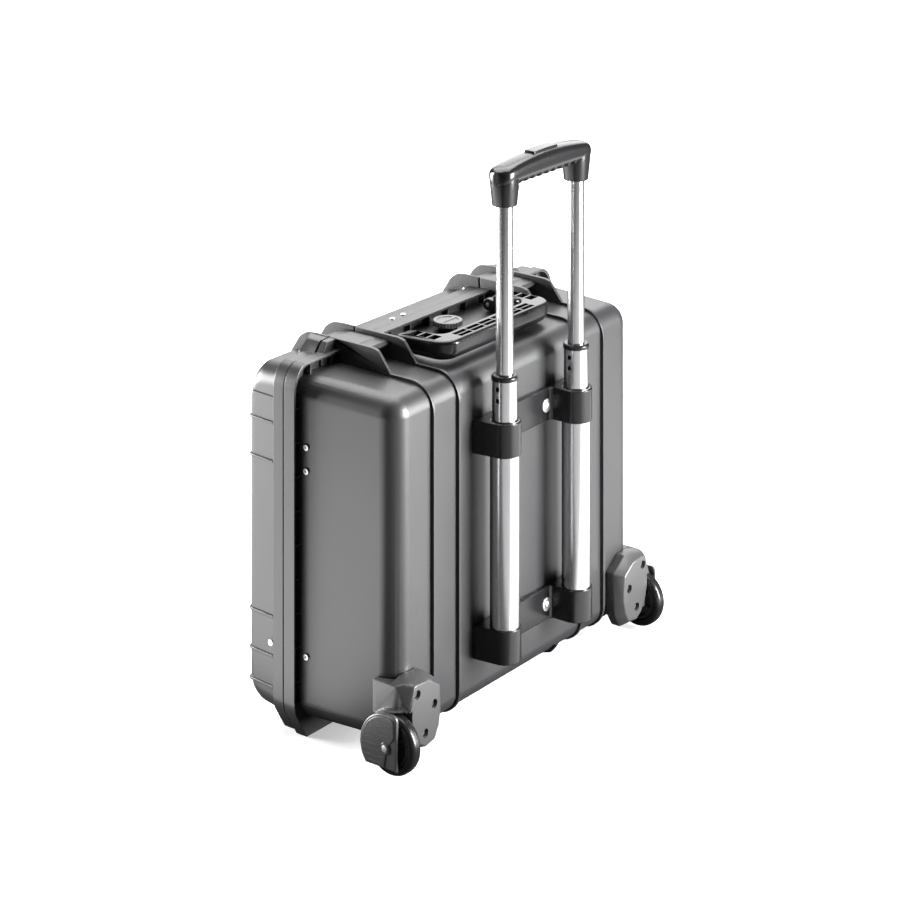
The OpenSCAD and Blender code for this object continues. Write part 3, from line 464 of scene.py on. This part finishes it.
def lid_frame():
    """Flange with the fins, long ribs, padlock bosses and hinge knuckles of the lid."""
    bm = bmesh.new()
    edge = flange_loop(1.5)
    right = edge[1:len(edge) // 2]
    hinge = [(112.3, LID_FOOT), (112.3, 10.8), (187.7, 10.8), (187.7, LID_FOOT), (238.1, LID_FOOT)]
    notch_in, notch_out, notch_top = FIN_X[0] + 1.6, FIN_X[1] - 1.6, FLANGE_TOP - 1.5
    notch = [(notch_out, notch_top), (notch_out, LATCH_NOTCH),
             (notch_in, LATCH_NOTCH), (notch_in, notch_top)]
    half = hinge + right + notch
    outline = half + [(-x, z) for x, z in reversed(half)]
    slab(bm, outline, LID_FLANGE, LID_FACE, "Y", (1.6, 0.4), [lid_loop(-80, LID_WALL)], steps=4)
    crest = [(LID_FACE, 0), (-92, 0), (-101, 0.8), (-107.5, 2.2), (-113.8, 5.8), (-118, 10.4), (-127, 23.8),
             (-134.2, 35.5)]
    rib = [(RIB_FRONT, 408), (RIB_FRONT, 52), (-130.3, 33), (-121, 22.6), (LID_FLANGE, 19),
           (LID_FLANGE, 30), (-118, 32), (-127, 52), (-127, 396), (-118, 412)]
    fin = [(LID_FACE, 412)] + [(y, FIN_TOP - drop) for y, drop in crest] + rib
    for x in FIN_X:
        for side in SIDES:
            slab(bm, fin, side * x - FIN_HALF, side * x + FIN_HALF, "X", (0.8, 0.8), steps=3)
    boss = [(174.0, 424), (174.0, 451.4), (190.6, 451.2), (193.1, 449.2), (202.4, 437.6), (202.4, 424)]
    for side in SIDES:
        start = len(bm.verts)
        slab(bm, [(side * x, z) for x, z in boss], -112.0, LID_FACE, "Y", (2.0, 0.6), steps=4)
        bm.verts.ensure_lookup_table()
        for v in bm.verts[start:]:
            if v.co.y < -100:                   # slopes the boss's front face back
                v.co.y += (abs(v.co.x) - 174) * 0.55 + max(0.0, v.co.z - 436) * 0.75
    bed_front, bed_back, bed_top = LID_FLANGE + 0.4, -75.6, 12
    bed = [(bed_front, LID_FOOT), (bed_back, LID_FOOT), (bed_back, bed_top), (bed_front, bed_top)]
    knuckle = arc(HINGE_Y, HINGE_Z, KNUCKLE_R, KNUCKLE_R, -90, 90, 16) + [(-78, 10), (-78, 0)]
    bore = arc(HINGE_Y, HINGE_Z, PIN_R, PIN_R, 0, 337.5, 15)
    for hinge_x in (-HINGE_X, HINGE_X):
        slab(bm, bed, hinge_x - 38, hinge_x + 38, "X", (0.3, 0.3), steps=2)
        for i in (1, 3):
            start = hinge_x + (i - 2.5) * KNUCKLE_LONG
            end = hinge_x + (i - 1.5) * KNUCKLE_LONG
            slab(bm, knuckle, start + 0.2, end - 0.2, "X", (0.5, 0.5), [bore], steps=3)
    dress(in_metres(bm, "lid_frame"), "lid_shell", smooth=38)


def side_ribs():
    """Rounded ribs round the lid's sides, tapering into the wall beside the flange."""
    bm = bmesh.new()
    rib = [(246, -92), (251.0, -92), (252.0, -93.4), (249.0, -126), (248.2, -131), (246.2, -134.4),
           (242.5, -136.2), (176.8, -136.2), (176.8, -130), (236, -130), (240, -126)]
    for side in SIDES:
        for z in LID_RIB_Z:
            slab(bm, [(side * x, y) for x, y in rib], z, z + LID_RIB_THICK, "Z", (1.1, 1.1), steps=4)
    dress(in_metres(bm, "lid_side_ribs"), "lid_shell", smooth=60)


lid_tub()
lid_frame()
side_ribs()


# ---------- carry handle ----------


HANDLE_HALF, HANDLE_OUT, HANDLE_LOW, HANDLE_HIGH = 112.5, 59.0, 426.2, 451.2
HANDLE_PIVOT_Y, HANDLE_PIVOT_Z, CHEEK_R, HANDLE_PIN_R = -28.0, 434.5, 7.6, 2.7
ARM_WIDE, HANDLE_CORNER_R, INNER_CORNER_R = 27, 26, 14
ARM_TAPER = math.tan(math.radians(24))      # rise of the arms' top from the pivot


def carry_handle():
    """Folding handle: a rounded bar with cored pockets in its top and forked arms round the pins."""
    inner = HANDLE_HALF - ARM_WIDE
    fork = HANDLE_HALF - ARM_WIDE / 2
    start = HANDLE_PIVOT_Y + 9
    corner_x, corner_y = HANDLE_HALF - HANDLE_CORNER_R, HANDLE_OUT - HANDLE_CORNER_R
    r = HANDLE_CORNER_R
    right = [(inner, start), (HANDLE_HALF, start)] + arc(corner_x, corner_y, r, r, 0, 90, 14)
    r, under_x, under_y = INNER_CORNER_R, inner - INNER_CORNER_R, HANDLE_OUT - 43
    under = arc(-under_x, under_y, r, r, 180, 90, 8) + arc(under_x, under_y, r, r, 90, 0, 8)
    outline = right + [(-x, y) for x, y in reversed(right)] + under
    pockets = []
    for side in SIDES:
        ends = (side * (fork - 7.5), side * (fork + 7.5))
        for i in range(3):
            y = i * 13.5 - 2
            pockets.append(([(ends[0], y), (ends[1], y), (ends[1], y + 10.5), (ends[0], y + 10.5)], 12))
    for i in range(-3, 3):
        for j in (0, 1):
            x, y = i * 25.5 + 1.4, HANDLE_OUT - 20.6 + j * 8.4
            pockets.append(([(x, y), (x + 22.7, y), (x + 22.7, y + 6), (x, y + 6)], 10))
    bm = bmesh.new()
    slab(bm, outline, HANDLE_LOW, HANDLE_HIGH, "Z", (13.0, 4.6), pockets=pockets, steps=8)
    for v in bm.verts:
        roof = HANDLE_PIVOT_Z + CHEEK_R + ARM_TAPER * (v.co.y - HANDLE_PIVOT_Y + 1)
        v.co.z = min(v.co.z, max(roof, HANDLE_LOW + 8 if v.co.z > HANDLE_LOW + 9 else v.co.z))
    cheek_end, cheek_low = HANDLE_PIVOT_Y + 16, HANDLE_LOW + 1.2
    cheek = (arc(HANDLE_PIVOT_Y, HANDLE_PIVOT_Z, CHEEK_R, CHEEK_R, 90, 255, 14)
             + [(cheek_end, cheek_low), (cheek_end, 440)])
    bore = arc(HANDLE_PIVOT_Y, HANDLE_PIVOT_Z, HANDLE_PIN_R, HANDLE_PIN_R, 0, 345, 23)
    for side in SIDES:
        for x0, x1 in ((fork - 13.5, fork - 4.8), (fork + 4.8, fork + 13.5)):
            ends = sorted((side * x0, side * x1))
            slab(bm, cheek, ends[0], ends[1], "X", (1.2, 1.2), [bore], steps=4)
    dress(in_metres(bm, "carry_handle_body"), "carry_handle", smooth=38)


carry_handle()


# ---------- trolley grip ----------


GRIP_TOP, GRIP_LOW, GRIP_UNDER = 671.2, 643.6, 640.6
GRIP_HALF_Y, GRIP_END, GRIP_SQUARE = 17.0, 17.2, 2.6    # half width, reach past the tube, corner exponent
WELL_HALF, WELL_FLOOR = 24, 655.2
WELL_ANGLE = 69.4                           # section angle at which the button well's edge lies


def arch(x):
    """Height of the grip's top at x: a low arch that falls away over the tubes."""
    fall = ((abs(x) - 80) / 11) ** 2 * 3.4 if abs(x) > 80 else 0
    return GRIP_TOP - 4.8 * (x / TUBE_X) ** 2 - fall


def power(value, exponent):
    """The power of a number's size, with its sign."""
    return math.copysign(abs(value) ** exponent, value)


def superellipse(half_x, half_y, exponent, angle):
    """Point of a rounded rectangle with the given half widths."""
    return (half_x * power(math.cos(angle), 2 / exponent), half_y * power(math.sin(angle), 2 / exponent))


def loft(bm, rows):
    """Skins rows of points that all have the same count, and closes both ends."""
    rows = [[bm.verts.new(p) for p in row] for row in rows]
    count = len(rows[0])
    faces = [bm.faces.new((a[i], a[(i + 1) % count], b[(i + 1) % count], b[i]))
             for a, b in zip(rows, rows[1:]) for i in range(count)]
    faces += [bm.faces.new(rows[0]), bm.faces.new(rows[-1])]
    bmesh.ops.recalc_face_normals(bm, faces=faces)


def grip_section(x, angles):
    """Points of the grip's section at x, with the button well or a closed top between its edges."""
    past = max(0.0, abs(x) - TUBE_X) / 17.25
    half_y = GRIP_HALF_Y * max(1 - past ** 2.8, 0.0005) ** (1 / 2.8)
    under = GRIP_LOW
    if abs(x) < 57:                             # finger scallops
        under = GRIP_UNDER + 4.6 * (0.5 + 0.5 * math.cos(math.radians(x * 25.2 + 180))) ** 0.7
    top = arch(x)
    middle_z, tall = (top + GRIP_LOW) / 2, (top - GRIP_LOW) / 2
    row = []
    for a in angles:
        u, v = superellipse(half_y, tall, GRIP_SQUARE, a)
        if v < 0:
            v *= (middle_z - under) / tall if abs(u) < 0.8 * half_y else 1
        row.append((x, TUBE_Y + u, middle_z + v))
    if abs(x) < WELL_HALF:
        return row + [(x, row[-1][1], WELL_FLOOR), (x, row[0][1], WELL_FLOOR)]
    for a in (math.radians(97), math.radians(83)):
        u, v = superellipse(half_y, tall, GRIP_SQUARE, a)
        row.append((x, TUBE_Y + u, middle_z + v))
    return row


def trolley_grip():
    """Padded arch with finger scallops underneath, a well for the button and sockets over the tubes."""
    angles = [math.radians(WELL_ANGLE - i * (360 - (180 - 2 * WELL_ANGLE)) / 32) for i in range(33)]
    out = [TUBE_X + GRIP_END * math.sin(math.radians(a)) for a in (89, 84, 76, 66, 54, 42, 30, 18, 6)]
    middle = [72 - 0.8 * i for i in range(60)]
    middle = [x for x in middle if x > 24.6] + [24.05, 23.95] + [22.4 - 0.8 * i for i in range(28)]
    stations = out + middle + [0.0] + [-x for x in reversed(out + middle)]
    bm = bmesh.new()
    loft(bm, [grip_section(x, angles) for x in stations])
    turns = [FULL_TURN * i / 56 for i in range(56)]
    # radius, height and corner exponent up a socket, from inside its bore round its mouth to the grip
    rings = [(10.58, 640, 2), (10.58, 618.9, 2), (10.9, 618.5, 2), (13.6, 618.5, 2.3), (14.3, 618.8, 2.3),
             (14.6, 619.6, 2.3), (15.4, 630, 2.4), (16.3, 641, 2.5), (16.7, 650, 2.5), (16.4, 656, 2.5),
             (15.0, 660, 2.4)]
    for side in SIDES:
        socket = []
        for r, z, square in rings:
            section = [superellipse(r, r, square, t) for t in turns]
            socket.append([(side * TUBE_X + u, TUBE_Y + v, z) for u, v in section])
        loft(bm, socket)
    dress(in_metres(bm, "trolley_grip_body"), "trolley_grip", smooth=50)


trolley_grip()


# ---------- wheel guards and axles ----------


AXLE_Y, AXLE_Z, AXLE_R, AXLE_END = 91.4, 39.4, 4.0, 271.08
GUARD_R, GUARD_BACK, GUARD_LOW, PANEL_INSET = 38.0, 107.0, 15.5, 3
GUARD_IN, GUARD_OUT, PANEL_IN, PANEL_OUT, RIDGE_OUT = 264, 268.4, 268.0, 269.3, 269.9
RIDGES, RIDGE_LOW, RIDGE_STEP, RIDGE_THICK = 8, 20.5, 6.4, 1.1


def guard_arc(r, low, steps):
    """The guard's round edge at radius r, from its top to the height `low`."""
    return arc(AXLE_Y, AXLE_Z, r, r, 92, 180 + math.degrees(math.asin((AXLE_Z - low) / r)), steps)


def wheel_guard(node, side):
    """Outer cover of a wheel: a rounded plate, a raised panel and fine ridges round a plain sector."""
    corner = arc(GUARD_BACK - 7, AXLE_Z + GUARD_R - 6, 7, 7, 0, 78, 6)
    plate = [(GUARD_BACK, GUARD_LOW)] + corner + guard_arc(GUARD_R, GUARD_LOW, 30)
    r, panel_back, panel_low = GUARD_R - PANEL_INSET, GUARD_BACK - PANEL_INSET, GUARD_LOW + 1.5
    panel = ([(AXLE_Y + 3, AXLE_Z + 2), (panel_back, AXLE_Z + 13.4), (panel_back, AXLE_Z + r - 7)]
             + arc(GUARD_BACK - 9, AXLE_Z + r - 6, 6, 6, 0, 78, 5) + guard_arc(r, panel_low, 28)
             + [(AXLE_Y - 1.6, panel_low)])

    def span(low, high):
        return sorted((side * low, side * high))

    def rims(low, high):
        return (low, high) if side > 0 else (high, low)

    bm = bmesh.new()
    bore = arc(AXLE_Y, AXLE_Z, 4.05, 4.05, 0, 345, 23)
    slab(bm, plate, *span(GUARD_IN, GUARD_OUT), "X", rims(0.4, 1.9), [bore], steps=4)
    slab(bm, panel, *span(PANEL_IN, PANEL_OUT), "X", rims(0.1, 0.8), steps=3)
    for i in range(RIDGES):
        z = RIDGE_LOW + RIDGE_STEP * i
        high = z - AXLE_Z
        start = AXLE_Y - math.sqrt((r - 2.5) ** 2 - high ** 2)
        end = AXLE_Y + (3 - 11 * (2 - high) / 52 if high < 2 else 3 + (high - 2) * 1.156) - 2
        if abs(high) < 8:
            end = min(end, AXLE_Y - 8)
        end = min(end, GUARD_BACK - 5)
        ridge = [(start, z), (end, z), (end, z + RIDGE_THICK), (start, z + RIDGE_THICK)]
        slab(bm, ridge, *span(269.0, RIDGE_OUT), "X", rims(0.1, 0.45), steps=3)
    ring = arc(AXLE_Y, AXLE_Z, 6.6, 6.6, 0, 350, 35)
    slab(bm, ring, *span(PANEL_IN, RIDGE_OUT), "X", rims(0.1, 0.5), [bore], steps=3)
    dress(in_metres(bm, node + "_body"), node, smooth=38, look="wheel_plastic")


wheel_guard("wheel_guard_left", -1)
wheel_guard("wheel_guard_right", 1)


def wheel_axles():
    """Two axle pins with riveted outer ends."""
    bm = bmesh.new()
    profile = [(0, 227), (3.6, 227), (AXLE_R, 227.4), (AXLE_R, 270.3),
               (3.7, 270.8), (2.6, 271.0), (0, AXLE_END)]
    for side in SIDES:
        lathe_x(bm, [(r, side * x) for r, x in profile], (AXLE_Y, AXLE_Z), 40)
    dress(in_metres(bm, "wheel_axles_body"), "wheel_axles")


wheel_axles()

for name, ob in frame["nodes"].items():
    ob.data.materials.clear()
    ob.data.materials.append(MATERIALS[slot_of[name]])


# ---------- floor, light and camera ----------


WHITE = (1, 1, 1, 1)
FLOOR_HALF, FLOOR_GREY, FLOOR_BOUNCE, WORLD_SOFT = 14, 0.86, 0.06, 0.06
GLOW_NEAR, GLOW_FAR = (0.3, 0.35), (1.4, 1.0)           # distance from the origin, floor's glow there

# place, aim, size, radiance and whether the camera sees it; all in metres
LIGHTS = {
    "left_softbox": ((1.0, -2.1, 0.45), (0, 0, 0.25), (1.1, 1.0), 46.0, True),
    "right_softbox": ((-0.9, 2.3, 0.8), (0, 0, 0.25), (1.1, 1.6), 62.0, True),
    "right_card": ((-0.5, 0.95, 0.01), (-0.5, 0.95, 2), (1.3, 1.5), 2.2, False),
    "left_card": ((0.79, -0.68, 0.01), (0.79, -0.68, 2), (0.97, 1.3), 4.4, False),
    "front_card": ((0.75, 1.0, 0.01), (0.75, 1.0, 2), (1.2, 1.3), 0.6, False),
    "back_card": ((-2.4, -1.8, 1.7), (0, 0, 0.4), (2.6, 1.7), 3.4, False),
    "top_softbox": ((-0.6, -0.6, 2.8), (0, 0, 0.2), (2.6, 2.6), 7.0, True),
}

CAMERA_PLACE = (2.6539, 2.0155, 1.4805)
CAMERA_TURN, CAMERA_DOWN = math.radians(127.39), 0.36213    # heading, and drop per metre forward
CAMERA_LENS, CAMERA_SENSOR, CAMERA_FAR = 113.352, 36, 60


def area_light(name, place, aim, size, radiance, seen):
    """A rectangular light that shines from `place` towards `aim`."""
    light = bpy.data.lights.new(name, "AREA")
    light.shape = "RECTANGLE"
    light.size, light.size_y = size
    light.energy = radiance * math.pi * size[0] * size[1]
    ob = bpy.data.objects.new(name, light)
    bpy.context.scene.collection.objects.link(ob)
    ob.location = place
    ob.rotation_euler = (Vector(aim) - Vector(place)).to_track_quat("-Z", "Y").to_euler()
    ob.visible_camera = seen


def split_rays(tree, seen, unseen, output):
    """Shows one shader to the camera and the other to all other rays."""
    path = add(tree, "ShaderNodeLightPath")
    both = add(tree, "ShaderNodeMixShader")
    tree.links.new(path.outputs["Is Camera Ray"], both.inputs["Fac"])
    tree.links.new(unseen, both.inputs[1])
    tree.links.new(seen, both.inputs[2])
    tree.links.new(both.outputs["Shader"], tree.nodes[output].inputs["Surface"])


def studio_floor():
    """White floor that glows more with distance and throws little light back."""
    bm = bmesh.new()
    bmesh.ops.create_grid(bm, x_segments=8, y_segments=8, size=FLOOR_HALF)
    floor = mesh_object(bm, "studio_floor")
    m, tree, shader = new_material("studio_floor")
    shader.inputs["Base Color"].default_value = (FLOOR_GREY, FLOOR_GREY, FLOOR_GREY, 1)
    shader.inputs["Roughness"].default_value = 0.8
    shader.inputs["Emission Color"].default_value = WHITE
    place = add(tree, "ShaderNodeTexCoord")
    reach = add(tree, "ShaderNodeVectorMath", operation="LENGTH")
    tree.links.new(place.outputs["Object"], reach.inputs[0])
    glow = ramp(tree, reach.outputs["Value"], GLOW_NEAR[0], GLOW_FAR[0], GLOW_NEAR[1], GLOW_FAR[1])
    tree.links.new(glow, shader.inputs["Emission Strength"])
    bounce = add(tree, "ShaderNodeBsdfDiffuse")
    bounce.inputs["Color"].default_value = (FLOOR_BOUNCE, FLOOR_BOUNCE, FLOOR_BOUNCE, 1)
    split_rays(tree, shader.outputs["BSDF"], bounce.outputs["BSDF"], "Material Output")
    floor.data.materials.append(m)


def studio_world():
    """White to the camera, a soft fill for everything else."""
    world = bpy.data.worlds.new("studio")
    bpy.context.scene.world = world
    world.use_nodes = True
    tree = world.node_tree
    back = tree.nodes["Background"]
    back.inputs["Color"].default_value = WHITE
    back.inputs["Strength"].default_value = 1.0
    soft = add(tree, "ShaderNodeBackground")
    soft.inputs["Color"].default_value = WHITE
    soft.inputs["Strength"].default_value = WORLD_SOFT
    split_rays(tree, back.outputs["Background"], soft.outputs["Background"], "World Output")


def photo_camera():
    """A level view camera with its verticals kept upright, as a studio camera with a rising front sees."""
    right = Vector((math.cos(CAMERA_TURN), math.sin(CAMERA_TURN), 0))
    forward = Vector((-math.sin(CAMERA_TURN), math.cos(CAMERA_TURN), 0))
    up = Vector((0, 0, 1))
    back = -(forward - up * CAMERA_DOWN).normalized()
    mount = bpy.data.objects.new("camera_mount", None)
    bpy.context.scene.collection.objects.link(mount)
    data = bpy.data.cameras.new("photo_camera")
    data.sensor_width = CAMERA_SENSOR
    data.lens = CAMERA_LENS
    data.clip_end = CAMERA_FAR
    camera = bpy.data.objects.new("photo_camera", data)
    bpy.context.scene.collection.objects.link(camera)
    place = Matrix((right, up, back)).transposed().to_4x4()
    place.translation = Vector(CAMERA_PLACE)
    camera.parent = mount
    camera.matrix_parent_inverse = place
    bpy.context.scene.camera = camera


studio_floor()
studio_world()
for name, settings in LIGHTS.items():
    area_light(name, *settings)
photo_camera()
bpy.context.scene.view_settings.view_transform = "Standard"
